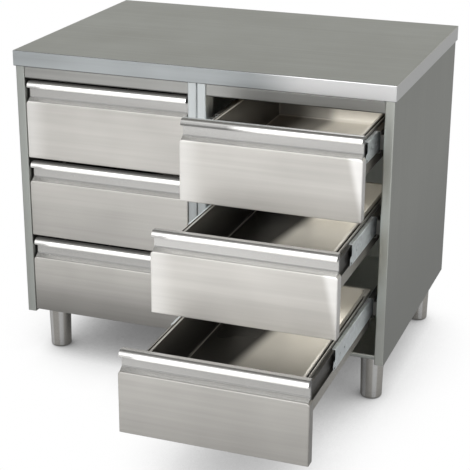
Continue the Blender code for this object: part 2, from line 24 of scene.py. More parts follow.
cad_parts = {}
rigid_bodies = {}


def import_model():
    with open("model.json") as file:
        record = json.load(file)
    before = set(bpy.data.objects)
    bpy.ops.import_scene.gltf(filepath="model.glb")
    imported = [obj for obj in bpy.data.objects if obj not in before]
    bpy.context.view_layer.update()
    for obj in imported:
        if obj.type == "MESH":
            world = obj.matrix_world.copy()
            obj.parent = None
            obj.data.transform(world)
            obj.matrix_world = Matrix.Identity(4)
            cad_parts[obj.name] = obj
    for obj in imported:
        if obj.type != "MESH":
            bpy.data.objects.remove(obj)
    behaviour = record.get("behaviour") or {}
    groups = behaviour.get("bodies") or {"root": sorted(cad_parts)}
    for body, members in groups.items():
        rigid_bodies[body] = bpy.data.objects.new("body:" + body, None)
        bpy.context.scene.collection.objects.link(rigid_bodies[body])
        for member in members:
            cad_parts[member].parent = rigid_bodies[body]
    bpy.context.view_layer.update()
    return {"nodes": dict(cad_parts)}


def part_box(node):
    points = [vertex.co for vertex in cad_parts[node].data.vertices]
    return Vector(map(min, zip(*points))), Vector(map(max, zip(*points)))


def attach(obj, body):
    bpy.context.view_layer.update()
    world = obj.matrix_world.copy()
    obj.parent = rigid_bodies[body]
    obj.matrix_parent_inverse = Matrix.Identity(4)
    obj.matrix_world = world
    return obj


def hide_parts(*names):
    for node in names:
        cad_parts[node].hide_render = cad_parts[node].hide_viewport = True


LOG = logging.getLogger("drawer_cabinet")
COLUMNS = ("left", "right")
ROWS = ("top", "middle", "bottom")
HANDS = ("l", "r")
DRAWERS = tuple(f"{column}_{row}" for column in COLUMNS for row in ROWS)
CORNERS = tuple(f"{end}_{column}" for end in ("front", "rear") for column in COLUMNS)

Colour = tuple[float, float, float]
Direction = tuple[float, float, float]
Corner = tuple[float, float, float]
Range = tuple[float, float]
SocketKey = Union[str, int]
Settings = Union[dict[str, Any], None]
Values = Union[dict[SocketKey, Any], None]
Term = Union["Signal", float]
Paint = Union[bpy.types.NodeSocket, Colour]

# Values that the finishes share
MARK = "mark"
WHITE: Colour = (1.0, 1.0, 1.0)
BLACK: Colour = (0.0, 0.0, 0.0)
MIX_FIRST = 6
MIX_SECOND = 7
MIX_RESULT = 2
NOISE_MIDDLE = 0.5
NOISE_ROUGHNESS = 0.6
GRAIN_DETAIL = 3.0
CLOUD_DETAIL = 2.0
TONE_MIDDLE = 0.5
TONE_CHANGE = 0.9
BUMP_DISTANCE = 0.0004
GRAIN_TURN = 0.25
# The ranges below place painted light and shade: faces that look sideways or to the front, roundings along x,
# the fronts' ends (a painted highlight strip at the left, a painted reflection wedge at the right), and
# upright lines of painted highlight on the feet.
FACING: Range = (0.6, 0.9)
EDGE: Range = (0.08, 0.25)
LEFT_END: Range = (0.0, 0.15)
RIGHT_END: Range = (0.985, 1.03)
RIGHT_END_LEAN = 0.08
STREAK_HIGHLIGHT: Range = (0.955, 1.0)
STREAK_HIGHLIGHT_ACROSS = 0.5
STREAK_HIGHLIGHT_FRONT = 0.866

# The least corner radius of a ring
LEAST_ROUND = 0.0001


class Slot(str, Enum):
    """Material slots of the record, listed here; the script gives them to no piece."""

    FRONT = "drawer_front_steel"
    BOX = "drawer_box_steel"
    ZINC = "slide_zinc"
    FOOT = "foot_steel"


class Grain(Enum):
    """How a brushed grain lies: how often it changes in a metre along x, y and z."""

    WIDTH = (1.5, 80.0, 80.0)
    DEPTH = (80.0, 1.5, 80.0)
    HEIGHT = (80.0, 80.0, 1.5)
    ROUND = (12.0, 12.0, 160.0)
    CLOUD = (5.0, 5.0, 5.0)


class Axis(Enum):
    """Where the two flat coordinates and the length of a swept outline go: columns of x, y and z."""

    X = (1, 2, 0)
    Y = (0, 2, 1)
    Z = (0, 1, 2)


class Signal:
    """A shader socket that takes part in Python expressions and adds a Math node for each of them."""

    def __init__(self, nodes: Nodes, socket: bpy.types.NodeSocket) -> None:
        """Keeps the socket and the tree that it belongs to."""
        self.nodes = nodes
        self.socket = socket

    def math(self, operation: str, *terms: Term) -> Signal:
        """One Math node.

        Args:
            operation: the node's operation.
            terms: numbers or signals, in the order of the node's sockets.
        Returns:
            The node's result.
        """
        node = self.nodes.add("ShaderNodeMath", {"operation": operation}, dict(enumerate(terms)))
        return Signal(self.nodes, node.outputs[0])

    def __add__(self, other: Term) -> Signal:
        """Sum."""
        return self.math("ADD", self, other)

    __radd__ = __add__

    def __sub__(self, other: Term) -> Signal:
        """Difference."""
        return self.math("SUBTRACT", self, other)

    def __rsub__(self, other: float) -> Signal:
        """Difference from a number."""
        return self.math("SUBTRACT", other, self)

    def __mul__(self, other: Term) -> Signal:
        """Product."""
        return self.math("MULTIPLY", self, other)

    def __abs__(self) -> Signal:
        """Size without its sign."""
        return self.math("ABSOLUTE", self)

    def larger(self, other: Term) -> Signal:
        """The larger of the two."""
        return self.math("MAXIMUM", self, other)

    def ramp(self, low: float, high: float) -> Signal:
        """Zero below the low value, one above the high one, and smooth between them.

        Args:
            low: the signal's value where the ramp starts.
            high: its value where the ramp ends.
        Returns:
            A signal from 0 to 1.
        """
        node = self.nodes.add(
            "ShaderNodeMapRange",
            {"interpolation_type": "SMOOTHSTEP"},
            {"Value": self, "From Min": low, "From Max": high},
        )
        return Signal(self.nodes, node.outputs["Result"])


class Nodes:
    """Adds nodes to one tree."""

    def __init__(self, tree: bpy.types.NodeTree) -> None:
        """Keeps the tree and empties it."""
        self.tree = tree
        tree.nodes.clear()

    def add(self, kind: str, settings: Settings = None, values: Values = None) -> bpy.types.Node:
        """One node.

        Args:
            kind: the node's type.
            settings: its own settings, which are set first.
            values: numbers, signals or sockets for its inputs, by name or place.
        Returns:
            The node.
        """
        node = self.tree.nodes.new(kind)
        for name, value in (settings or {}).items():
            setattr(node, name, value)
        for key, value in (values or {}).items():
            if isinstance(value, Signal):
                value = value.socket
            if isinstance(value, bpy.types.NodeSocket):
                self.tree.links.new(value, node.inputs[key])
            else:
                node.inputs[key].default_value = value
        return node

    def signal(
        self, kind: str, output: SocketKey, settings: Settings = None, values: Values = None
    ) -> Signal:
        """One output of a new node, as a signal."""
        return Signal(self, self.add(kind, settings, values).outputs[output])

    def place(self) -> bpy.types.NodeSocket:
        """The Object coordinates of the piece."""
        return self.add("ShaderNodeTexCoord").outputs["Object"]

    def parts(self, vector: bpy.types.NodeSocket) -> tuple[Signal, ...]:
        """The x, y and z of a vector."""
        split = self.add("ShaderNodeSeparateXYZ", None, {0: vector}).outputs
        return tuple(Signal(self, split[axis]) for axis in "XYZ")

    def marks(self) -> tuple[Signal, ...]:
        """The piece's own marks: how far across a point lies, whether it is lit, and how far up it lies."""
        return self.parts(self.add("ShaderNodeAttribute", {"attribute_name": MARK}).outputs["Vector"])

    def noise(self, grain: Grain, detail: float) -> Signal:
        """Noise about a middle of one half, drawn out along the grain.

        Args:
            grain: how the grain lies.
            detail: how many finer layers the noise has.
        Returns:
            A signal from 0 to 1.
        """
        spread = self.add("ShaderNodeMapping", None, {"Vector": self.place(), "Scale": grain.value})
        values = {"Vector": spread.outputs[0], "Scale": 1.0, "Detail": detail, "Roughness": NOISE_ROUGHNESS}
        return self.signal("ShaderNodeTexNoise", "Fac", None, values)

    def patches(self, scale: float) -> Signal:
        """Voronoi patches, each with a level of its own from 0 to 1, and so many in a metre."""
        cells = self.add("ShaderNodeTexVoronoi", None, {"Vector": self.place(), "Scale": scale})
        return self.signal("ShaderNodeSeparateColor", 0, None, {0: cells.outputs["Color"]})

    def blend(self, share: Term, first: Paint, second: Paint) -> bpy.types.NodeSocket:
        """A colour between two others.

        Args:
            share: how much of the second colour is in it, from 0 to 1.
            first: a colour, or the socket of one.
            second: a colour, or the socket of one.
        Returns:
            The blended colour's socket.
        """
        colours = [(*value, 1.0) if isinstance(value, tuple) else value for value in (first, second)]
        values = {"Factor": share, MIX_FIRST: colours[0], MIX_SECOND: colours[1]}
        return self.add("ShaderNodeMix", {"data_type": "RGBA"}, values).outputs[MIX_RESULT]

    def show(self, shader: bpy.types.Node, kind: str = "ShaderNodeOutputMaterial") -> None:
        """Makes a shader the tree's surface."""
        self.add(kind, None, {"Surface": shader.outputs[0]})

    def principled(self, values: Values) -> None:
        """Makes a Principled shader with these inputs the tree's surface."""
        self.show(self.add("ShaderNodeBsdfPrincipled", None, values))


def blank_material(name: str) -> tuple[bpy.types.Material, Nodes]:
    """A new material with an empty tree.

    Args:
        name: the material's name.
    Returns:
        The material, and its nodes.
    """
    material = bpy.data.materials.new(name)
    material.use_nodes = True
    return material, Nodes(material.node_tree)


def scaled(colour: Colour, share: float) -> Colour:
    """A colour times a share."""
    return tuple(min(1.0, part * share) for part in colour)


@dataclass(frozen=True)
class ShadeFall:
    """Painted shade that grows lower down: the height where it starts, where it is full, and the share left.
    """

    high: float
    low: float
    share: float


@dataclass(frozen=True)
class Glint:
    """A painted glint along x: its middle, how far from there it is full, how far it reaches, and its
    strength.
    """

    middle: float
    full: float
    reach: float
    strength: float


@dataclass(frozen=True)
class SteelFinish:
    """Brushed or satin sheet: a base colour with grain and clouds, which change its gloss too.

    The other fields paint light and shade into the colour where a finish sets them. A shade is the share of
    the brightness that is left, and a shine is the share of white that is added. They go to sides, to fronts
    and rears, to roundings along x, to the lower part, to parts without a light mark (a painted shadow),
    which are lit again from a range on across the piece, to the left and right ends, to a glint along x, and
    to upright lines of painted highlight on a round piece.
    """

    name: str
    colour: Colour
    roughness: float
    grain: Grain
    contrast: float
    gloss_change: float
    bump: float
    metallic: float = 1.0
    anisotropy: float = 0.0
    side_shade: float = 1.0
    front_shade: float = 1.0
    side_shine: float = 0.0
    edge_shade: float = 1.0
    shade_fall: ShadeFall | None = None
    shadow: float = 1.0
    lit_range: Range | None = None
    end_shine: Range | None = None
    glint: Glint | None = None
    highlight_streak: float = 0.0

    def material(self) -> bpy.types.Material:
        """The finish as nodes.

        Returns:
            A material whose colour, roughness and bump follow a drawn-out noise, with slow clouds over it.
        """
        material, nodes = blank_material(self.name)
        grain = nodes.noise(self.grain, GRAIN_DETAIL) - NOISE_MIDDLE
        cloud = nodes.noise(Grain.CLOUD, CLOUD_DETAIL) - NOISE_MIDDLE
        tone = TONE_MIDDLE + grain * TONE_CHANGE + cloud * TONE_CHANGE
        dark = scaled(self.colour, 1.0 - self.contrast)
        light = scaled(self.colour, 1.0 + self.contrast)
        colour = self.by_direction(nodes, nodes.blend(tone, dark, light))
        relief = {"Strength": self.bump, "Distance": BUMP_DISTANCE, "Height": grain}
        nodes.principled(
            {
                "Base Color": self.by_place(nodes, colour),
                "Roughness": self.roughness + (grain + cloud) * self.gloss_change,
                "Metallic": self.metallic,
                "Anisotropic": self.anisotropy,
                "Anisotropic Rotation": GRAIN_TURN,
                "Normal": nodes.add("ShaderNodeBump", None, relief).outputs[0],
            }
        )
        return material

    def by_direction(self, nodes: Nodes, colour: Paint) -> Paint:
        """The colour, with painted shade and highlight by where a face looks.

        Args:
            nodes: the material's nodes.
            colour: the steel's colour.
        Returns:
            The colour with the painted shades and shine of sides, fronts and edges.
        """
        if self.side_shade < 1.0:
            colour = self.shaded(nodes, colour, self.sideways(nodes), self.side_shade)
        if self.front_shade < 1.0:
            colour = self.shaded(nodes, colour, self.frontal(nodes), self.front_shade)
        if self.side_shine > 0.0:
            colour = nodes.blend(self.sideways(nodes) * self.side_shine, colour, WHITE)
        if self.edge_shade < 1.0:
            colour = self.shaded(nodes, colour, self.edges(nodes), self.edge_shade)
        return colour

    def by_place(self, nodes: Nodes, colour: Paint) -> Paint:
        """The colour, with painted shade and highlight by where a point lies on the piece.

        Args:
            nodes: the material's nodes.
            colour: the steel's colour.
        Returns:
            The colour with its painted shade lower down, its painted shadow, and the painted highlight of
            its ends, glint and upright lines.
        """
        if self.shade_fall is not None:
            _, _, height = nodes.parts(nodes.place())
            below = 1.0 - height.ramp(self.shade_fall.low, self.shade_fall.high)
            colour = self.shaded(nodes, colour, below, self.shade_fall.share)
        if self.shadow < 1.0:
            colour = self.shaded(nodes, colour, 1.0 - self.lit(nodes), self.shadow)
        if self.end_shine is not None:
            colour = nodes.blend(self.ends(nodes, *self.end_shine), colour, WHITE)
        if self.glint is not None:
            colour = nodes.blend(self.glow(nodes, self.glint), colour, WHITE)
        if self.highlight_streak > 0.0:
            colour = nodes.blend(self.highlight_streaks(nodes), colour, WHITE)
        return colour

    def shaded(self, nodes: Nodes, colour: Paint, mask: Signal, shade: float) -> bpy.types.NodeSocket:
        """The colour, times a shade where the mask is one."""
        return nodes.blend(mask, colour, nodes.blend(1.0 - shade, colour, BLACK))

    def lit(self, nodes: Nodes) -> Signal:
        """Which parts of the piece are lit.

        Args:
            nodes: the material's nodes.
        Returns:
            One on the marked parts and, where a range is given, from there on across the piece.
        """
        across, marked, _ = nodes.marks()
        if self.lit_range is None:
            return marked
        return marked.larger(across.ramp(*self.lit_range))

    def ends(self, nodes: Nodes, left: float, right: float) -> Signal:
        """How much the ends shine: a soft strip at the left, and at the right a wedge that widens upwards.

        Args:
            nodes: the material's nodes.
            left: the strip's strength.
            right: the wedge's strength.
        Returns:
            The share of white: a painted highlight at the left end and a painted reflection at the right.
        """
        across, _, upward = nodes.marks()
        strip_share = 1.0 - across.ramp(*LEFT_END)
        wedge_share = (across + upward * RIGHT_END_LEAN).ramp(*RIGHT_END)
        return strip_share * left + wedge_share * right

    def facing(self, nodes: Nodes) -> tuple[Signal, ...]:
        """How far a face looks along x, y and z, without the sign."""
        normal = nodes.add("ShaderNodeNewGeometry").outputs["Normal"]
        return tuple(abs(part) for part in nodes.parts(normal))

    def sideways(self, nodes: Nodes) -> Signal:
        """One on faces that look along x, to the left or to the right."""
        return self.facing(nodes)[0].ramp(*FACING)

    def frontal(self, nodes: Nodes) -> Signal:
        """One on faces that look along y, to the front or to the rear."""
        return self.facing(nodes)[1].ramp(*FACING)

    def edges(self, nodes: Nodes) -> Signal:
        """One on roundings that look along y and z at once."""
        _, front, top = self.facing(nodes)
        return (front * top).ramp(*EDGE)

    def glow(self, nodes: Nodes, glint: Glint) -> Signal:
        """The painted glint's share of white, on faces that look along y.

        Args:
            nodes: the material's nodes.
            glint: where it lies and how strong it is.
        Returns:
            Its strength about its middle, and less with the distance along x.
        """
        across, _, _ = nodes.parts(nodes.place())
        near = 1.0 - abs(across - glint.middle).ramp(glint.full, glint.reach)
        return near * self.frontal(nodes) * glint.strength

    def highlight_streaks(self, nodes: Nodes) -> Signal:
        """Painted highlight's share of white, where a round face looks 30 degrees off the front or rear."""
        across, front, _ = self.facing(nodes)
        return (across * STREAK_HIGHLIGHT_ACROSS + front * STREAK_HIGHLIGHT_FRONT).ramp(*STREAK_HIGHLIGHT) * self.highlight_streak


@dataclass(frozen=True)
class ZincFinish:
    """Zinc-plated steel: a dull bluish coat with small crystal patches."""

    name: str
    colour: Colour
    roughness: float
    metallic: float = 0.85
    scale: float = 90.0
    patch_share: float = 0.7
    grain_share: float = 0.3
    contrast: float = 0.10
    gloss_change: float = 0.10

    def material(self) -> bpy.types.Material:
        """The finish as nodes.

        Returns:
            A material whose patches change its colour and its gloss a little.
        """
        material, nodes = blank_material(self.name)
        patch = nodes.patches(self.scale)
        tone = patch * self.patch_share + nodes.noise(Grain.DEPTH, CLOUD_DETAIL) * self.grain_share
        dark = scaled(self.colour, 1.0 - self.contrast)
        light = scaled(self.colour, 1.0 + self.contrast)
        nodes.principled(
            {
                "Base Color": nodes.blend(tone, dark, light),
                "Roughness": self.roughness + patch * self.gloss_change,
                "Metallic": self.metallic,
            }
        )
        return material


@dataclass(frozen=True)
class BoardFinish:
    """Pressed board: chips between two browns."""

    name: str
    colour: Colour
    scale: float = 220.0
    tones: Range = (0.75, 1.15)
    roughness: float = 0.75
    gloss_change: float = 0.15

    def material(self) -> bpy.types.Material:
        """The finish as nodes.

        Returns:
            A material whose chips have tones and a gloss of their own.
        """
        material, nodes = blank_material(self.name)
        chip = nodes.patches(self.scale)
        dark, light = (scaled(self.colour, tone) for tone in self.tones)
        roughness = self.roughness + chip * self.gloss_change
        nodes.principled({"Base Color": nodes.blend(chip, dark, light), "Roughness": roughness})
        return material


Finish = Union[SteelFinish, ZincFinish, BoardFinish]

# Painted highlight on the sides, painted shade on the front roundings, and a painted glint on the front edge.
WORKTOP_STEEL = SteelFinish(
    "worktop_satin_steel", (0.53, 0.56, 0.57), 0.40, Grain.WIDTH,
    contrast=0.15, gloss_change=0.05, bump=0.01,
    side_shine=0.68, edge_shade=0.50, glint=Glint(0.40, 0.10, 0.27, 0.95),
)
# Painted shade on faces that look sideways.
CARCASS_STEEL = SteelFinish(
    "carcass_satin_steel", (0.53, 0.55, 0.52), 0.38, Grain.HEIGHT,
    contrast=0.10, gloss_change=0.06, bump=0.01, side_shade=0.80,
)
# A lighter copy for the right panel, as painted light, with painted shade sideways and lower down.
RIGHT_PANEL_STEEL = replace(
    CARCASS_STEEL, name="right_panel_satin_steel", colour=(0.78, 0.80, 0.75),
    side_shade=0.57, shade_fall=ShadeFall(0.60, 0.15, 0.78),
)
# A lighter copy of the carcass steel, as painted light, darker lower down as painted shade.
PARTITION_STEEL = SteelFinish(
    "partition_satin_steel", (0.78, 0.82, 0.825), 0.38, Grain.HEIGHT,
    contrast=0.10, gloss_change=0.05, bump=0.01, shade_fall=ShadeFall(0.66, 0.48, 0.62),
)
# Painted shade on the roundings along x.
RAIL_STEEL = SteelFinish(
    "rail_brushed_steel", (0.52, 0.52, 0.50), 0.34, Grain.WIDTH,
    contrast=0.14, gloss_change=0.05, bump=0.01, edge_shade=0.40,
)
# Painted shade on the upper part of the pan's top rounding, where its highlight would be.
FRONT_STEEL = SteelFinish(
    "front_brushed_steel", (0.473, 0.462, 0.443), 0.33, Grain.WIDTH,
    contrast=0.17, gloss_change=0.05, bump=0.005, metallic=0.75, anisotropy=0.5, shadow=0.80,
)
# Near-white steel: the bright nose of each lip is a painted highlight, and the light marks paint shade on the
# rest of the strip and its end plates.
HANDLE_STEEL = SteelFinish(
    "handle_steel_painted_highlight", (0.95, 0.94, 0.92), 0.22, Grain.WIDTH,
    contrast=0.07, gloss_change=0.03, bump=0.005, metallic=0.8, anisotropy=0.3, shadow=0.15,
)
# Painted shade on faces that look sideways, and a painted shadow on the inside but where the light marks or
# the range across the piece lift it.
BOX_STEEL = SteelFinish(
    "box_pressed_steel", (0.82, 0.79, 0.72), 0.26, Grain.CLOUD,
    contrast=0.10, gloss_change=0.03, bump=0.005, metallic=0.2,
    side_shade=0.40, shadow=0.07, lit_range=(0.20, 0.31),
)
# Shaded and lit copies: painted shade on the left boxes' front and rear walls, and a lighter painted shadow
# in the top right box.
LEFT_BOX_STEEL = replace(BOX_STEEL, name="left_box_pressed_steel", front_shade=0.45)
TOP_BOX_STEEL = replace(BOX_STEEL, name="top_box_pressed_steel", shadow=0.38)
# Upright lines of painted highlight on the feet.
FOOT_STEEL = SteelFinish(
    "foot_turned_steel", (0.62, 0.60, 0.56), 0.22, Grain.ROUND,
    contrast=0.08, gloss_change=0.02, bump=0.005, anisotropy=0.3, highlight_streak=0.75,
)
SLIDE_ZINC = ZincFinish("slide_zinc_plate", (0.78, 0.83, 0.85), 0.42)
# Zinc darkened as painted shade, for the inner and outer slide members that lie in shade.
SHADED_ZINC = ZincFinish("zinc_plate_painted_shade", (0.13, 0.127, 0.12), 0.40)
CORE_BOARD = BoardFinish("core_pressed_board", (0.50, 0.38, 0.25))


@dataclass(frozen=True)
class FrontLook:
    """How one front shows, with painted light and shade.

    Its tone is its share of the steel's brightness, set front by front as painted light and shade, and shine
    is the painted highlight of its left and right ends. At the left its lip's painted highlight has the start
    level, and it is at full shine from the fade's distance on. Its tone may grow darker lower down, as
    painted shade.
    """

    tone: float
    shine: Range | None = (0.25, 0.0)
    fade: float = 0.045
    start: float = 0.45
    shade_fall: ShadeFall | None = None

    def finish(self, drawer: str) -> SteelFinish:
        """The brushed finish of this front."""
        return replace(
            FRONT_STEEL,
            name=f"{FRONT_STEEL.name}_{drawer}",
            colour=scaled(FRONT_STEEL.colour, self.tone),
            end_shine=self.shine,
            shade_fall=self.shade_fall,
        )


# The fronts are one steel: their tones, end highlights and darker lower parts are painted light and shade.
FRONT_LOOKS = {
    "left_top": FrontLook(0.92),
    "left_middle": FrontLook(0.87, shine=None, shade_fall=ShadeFall(0.49, 0.36, 0.80)),
    "left_bottom": FrontLook(0.84, shine=None, shade_fall=ShadeFall(0.285, 0.135, 0.43)),
    "right_top": FrontLook(1.00, shine=(0.25, 0.50), fade=0.190, start=0.05),
    "right_middle": FrontLook(1.05, shine=(0.25, 0.45)),
    "right_bottom": FrontLook(0.80, shine=None, shade_fall=ShadeFall(0.285, 0.135, 0.82)),
}
BOX_FINISHES = {
    "left_top": LEFT_BOX_STEEL,
    "left_middle": LEFT_BOX_STEEL,
    "left_bottom": LEFT_BOX_STEEL,
    "right_top": TOP_BOX_STEEL,
    "right_middle": BOX_STEEL,
    "right_bottom": BOX_STEEL,
}


class Paints:
    """Makes each finish's material once."""

    def __init__(self) -> None:
        """Starts with no materials."""
        self.made: dict[str, bpy.types.Material] = {}

    def of(self, finish: Finish) -> bpy.types.Material:
        """The material of a finish.

        Args:
            finish: the finish.
        Returns:
            Its material, which is made the first time.
        """
        if finish.name not in self.made:
            self.made[finish.name] = finish.material()
        return self.made[finish.name]

    def dress(self, node: bpy.types.Object, finish: Finish) -> None:
        """Gives a node of the frame its finish.

        Args:
            node: the node.
            finish: the finish that takes the place of its own.
        """
        node.data.materials.clear()
        node.data.materials.append(self.of(finish))
        LOG.info("dressed %s in %s", node.name, finish.name)


@dataclass
class Shell:
    """A mesh in arrays: points in rows of x, y and z, four-sided faces, and caps with any number of sides.

    Each point may have a light mark from 0 to 1; without marks every point counts as lit.
    """

    points: np.ndarray
    quads: np.ndarray
    caps: list[np.ndarray] = field(default_factory=list)
    light: np.ndarray | None = None

    def __add__(self, other: Shell) -> Shell:
        """Two shells as one: the other's faces count on from this shell's points."""
        start = len(self.points)
        return Shell(
            np.vstack((self.points, other.points)),
            np.vstack((self.quads, other.quads + start)),
            self.caps + [cap + start for cap in other.caps],
            np.concatenate((self.lights(), other.lights())),
        )

    def lights(self) -> np.ndarray:
        """The light mark of each point."""
        return np.ones(len(self.points)) if self.light is None else self.light

    def marked(self, light: np.ndarray) -> Shell:
        """The shell with light marks."""
        return Shell(self.points, self.quads, self.caps, light)

    def moved(self, offset: Sequence[float]) -> Shell:
        """The shell shifted by an offset."""
        return Shell(self.points + np.asarray(offset), self.quads, self.caps, self.light)

    def mirrored(self) -> Shell:
        """The shell with its x turned over."""
        return Shell(self.points * (-1.0, 1.0, 1.0), self.quads, self.caps, self.light)

    def marks(self, lean: float) -> np.ndarray:
        """Marks for the finish: x and z as shares of the shell's own box, with the light mark between them.

        Args:
            lean: how much the x share falls from the front of the box to its rear.
        Returns:
            A row of three marks for each point.
        """
        low = self.points.min(axis=0)
        shares = (self.points - low) / (self.points.max(axis=0) - low)
        shares[:, 0] -= shares[:, 1] * lean
        shares[:, 1] = self.lights()
        return shares

    def piece(
        self, name: str, material: bpy.types.Material, sharp: float = 35.0, lean: float = 0.0
    ) -> bpy.types.Object:
        """The shell as an object in the scene.

        Args:
            name: the object's name.
            material: its material.
            sharp: edges that turn by more than this, in degrees, stay sharp.
            lean: how much the marks' x share falls towards the rear.
        Returns:
            An object at the origin, with its place in its mesh and its faces outwards.
        """
        mesh = bpy.data.meshes.new(name)
        mesh.from_pydata(self.points.tolist(), [], self.quads.tolist() + [cap.tolist() for cap in self.caps])
        work = bmesh.new()
        work.from_mesh(mesh)
        bmesh.ops.recalc_face_normals(work, faces=work.faces)
        work.to_mesh(mesh)
        work.free()
        mesh.shade_smooth()
        mesh.set_sharp_from_angle(angle=math.radians(sharp))
        marks = mesh.attributes.new(MARK, "FLOAT_VECTOR", "POINT")
        marks.data.foreach_set("vector", self.marks(lean).ravel())
        mesh.materials.append(material)
        thing = bpy.data.objects.new(name, mesh)
        bpy.context.scene.collection.objects.link(thing)
        return thing


def lattice(rows: int, columns: int, rows_close: bool, columns_close: bool) -> np.ndarray:
    """Four-sided faces of a grid of points: each cell joins a point, the next in its row, and the two below.

    Args:
        rows: how many rows of points.
        columns: how many points in a row.
        rows_close: whether the last row joins the first.
        columns_close: whether each row's last point joins its first.
    Returns:
        Places of the four corners of each cell, counted row by row.
    """
    row = np.arange(rows if rows_close else rows - 1)[:, None]
    column = np.arange(columns if columns_close else columns - 1)[None, :]
    below = (row + 1) % rows
    beside = (column + 1) % columns
    here = row * columns
    there = below * columns
    return np.stack((here + column, here + beside, there + beside, there + column), axis=-1).reshape(-1, 4)


def bent_line(corners: Sequence[Corner], steps: int) -> tuple[np.ndarray, np.ndarray]:
    """A line folded at its corners.

    Each inner corner becomes an arc that touches both legs: its centre lies one bend radius to the inside of
    the first leg, and the normal turns evenly from one leg's to the other's.

    Args:
        corners: rows of two coordinates and a bend radius.
        steps: how many steps each bend takes.
    Returns:
        The points, and the unit normals to the left of the line.
    """
    table = np.asarray(corners, float)
    places = table[:, :2]
    legs = np.diff(places, axis=0)
    legs /= np.linalg.norm(legs, axis=1, keepdims=True)
    lefts = np.stack((-legs[:, 1], legs[:, 0]), axis=1)
    points = [places[:1]]
    normals = [lefts[:1]]
    for here, radius, into, out, left in zip(places[1:-1], table[1:-1, 2], legs, legs[1:], lefts):
        turn = math.atan2(into[0] * out[1] - into[1] * out[0], float(into @ out))
        side = math.copysign(1.0, turn)
        centre = here - into * radius * math.tan(abs(turn) / 2) + left * radius * side
        angles = turn * np.linspace(0.0, 1.0, steps + 1)[:, None]
        swung = left * np.cos(angles) + np.array((-left[1], left[0])) * np.sin(angles)
        points.append(centre - swung * radius * side)
        normals.append(swung)
    points.append(places[-1:])
    normals.append(lefts[-1:])
    return np.vstack(points), np.vstack(normals)


def strip(corners: Sequence[Corner], thickness: float, steps: int) -> np.ndarray:
    """Closed outline of a folded strip: its centre line half a thickness to the left, and back on the right.

    Args:
        corners: the centre line's rows of two coordinates and a bend radius.
        thickness: the strip's thickness.
        steps: how many steps each bend takes.
    Returns:
        Rows of two coordinates.
    """
    points, normals = bent_line(corners, steps)
    shift = normals * thickness / 2
    return np.vstack((points + shift, (points - shift)[::-1]))


def swept(outline: np.ndarray, stops: Sequence[float], axis: Axis) -> Shell:
    """A closed outline carried in a straight line.

    Each point of the outline stands at every stop along the line, and a cap closes each end.

    Args:
        outline: rows of two coordinates.
        stops: places along the line, from its start to its end.
        axis: the axis that it runs along.
    Returns:
        A closed shell.
    """
    first, second, along = axis.value
    count = len(outline)
    points = np.empty((len(stops), count, 3))
    points[:, :, first] = outline[:, 0]
    points[:, :, second] = outline[:, 1]
    points[:, :, along] = np.asarray(stops)[:, None]
    caps = [np.arange(count)[::-1], np.arange(count) + (len(stops) - 1) * count]
    return Shell(points.reshape(-1, 3), lattice(len(stops), count, False, True), caps)


def ringed(
    profile: np.ndarray, half: Sequence[float], radii: Sequence[float], axis: Axis, closed: bool, steps: int
) -> Shell:
    """A profile carried round a rectangle with rounded corners.

    A profile point that lies an inset in from the outline gives a rectangle that is smaller by the inset all
    round, whose corner radii are smaller by the same, down to the least radius. Each corner is a quarter
    circle about a centre one radius in from both sides.

    Args:
        profile: rows of inset and level.
        half: half the outline's two sizes.
        radii: its corner radii, from the corner where both coordinates are positive, anticlockwise.
        axis: the axis that the levels are counted along.
        closed: whether the profile closes on itself; if not, its first and last rings get caps.
        steps: how many steps each corner takes.
    Returns:
        A closed shell.
    """
    first, second, along = axis.value
    inset = profile[:, 0][:, None, None]
    signs = np.array(((1, 1), (-1, 1), (-1, -1), (1, -1)), float)
    radius = np.maximum(np.asarray(radii)[None, :, None] - inset, LEAST_ROUND)
    start = np.arange(len(signs))[None, :, None] * math.pi / 2
    angle = start + np.linspace(0.0, math.pi / 2, steps + 1)[None, None, :]
    across = signs[None, :, 0, None] * (half[0] - inset - radius) + radius * np.cos(angle)
    upward = signs[None, :, 1, None] * (half[1] - inset - radius) + radius * np.sin(angle)
    count = len(signs) * (steps + 1)
    rows = len(profile)
    points = np.empty((rows, count, 3))
    points[:, :, first] = across.reshape(rows, count)
    points[:, :, second] = upward.reshape(rows, count)
    points[:, :, along] = profile[:, 1][:, None]
    last = (rows - 1) * count
    caps = [] if closed else [np.arange(count), np.arange(count) + last]
    return Shell(points.reshape(-1, 3), lattice(rows, count, closed, True), caps)


def turned(profile: np.ndarray, closed: bool, steps: int) -> Shell:
    """A profile turned about the vertical axis.

    A profile point at a radius and a height goes round a circle. A profile that doesn't close on itself gets
    a cap on its first and last circle.

    Args:
        profile: rows of radius and height.
        closed: whether the profile closes on itself.
        steps: how many steps a turn takes.
    Returns:
        A closed shell.
    """
    angle = np.arange(steps) * 2 * math.pi / steps
    points = np.empty((len(profile), steps, 3))
    points[:, :, 0] = profile[:, :1] * np.cos(angle)
    points[:, :, 1] = profile[:, :1] * np.sin(angle)
    points[:, :, 2] = profile[:, 1:]
    last = (len(profile) - 1) * steps
    caps = [] if closed else [np.arange(steps), np.arange(steps) + last]
    return Shell(points.reshape(-1, 3), lattice(len(profile), steps, closed, True), caps)


def boxes(lows: np.ndarray, highs: np.ndarray) -> Shell:
    """Plain plates between pairs of corners: every corner takes its low or high value along each axis.

    Args:
        lows: rows of the plates' low corners.
        highs: rows of their high corners.
    Returns:
        All the plates as one shell.
    """
    picks = np.array(((0, 0, 0), (1, 0, 0), (1, 1, 0), (0, 1, 0), (0, 0, 1), (1, 0, 1), (1, 1, 1), (0, 1, 1)))
    sides = np.array(((0, 3, 2, 1), (4, 5, 6, 7), (0, 1, 5, 4), (1, 2, 6, 5), (2, 3, 7, 6), (3, 0, 4, 7)))
    points = np.where(picks[None] == 1, highs[:, None], lows[:, None])
    quads = sides[None] + len(picks) * np.arange(len(lows))[:, None, None]
    return Shell(points.reshape(-1, 3), quads.reshape(-1, 4))


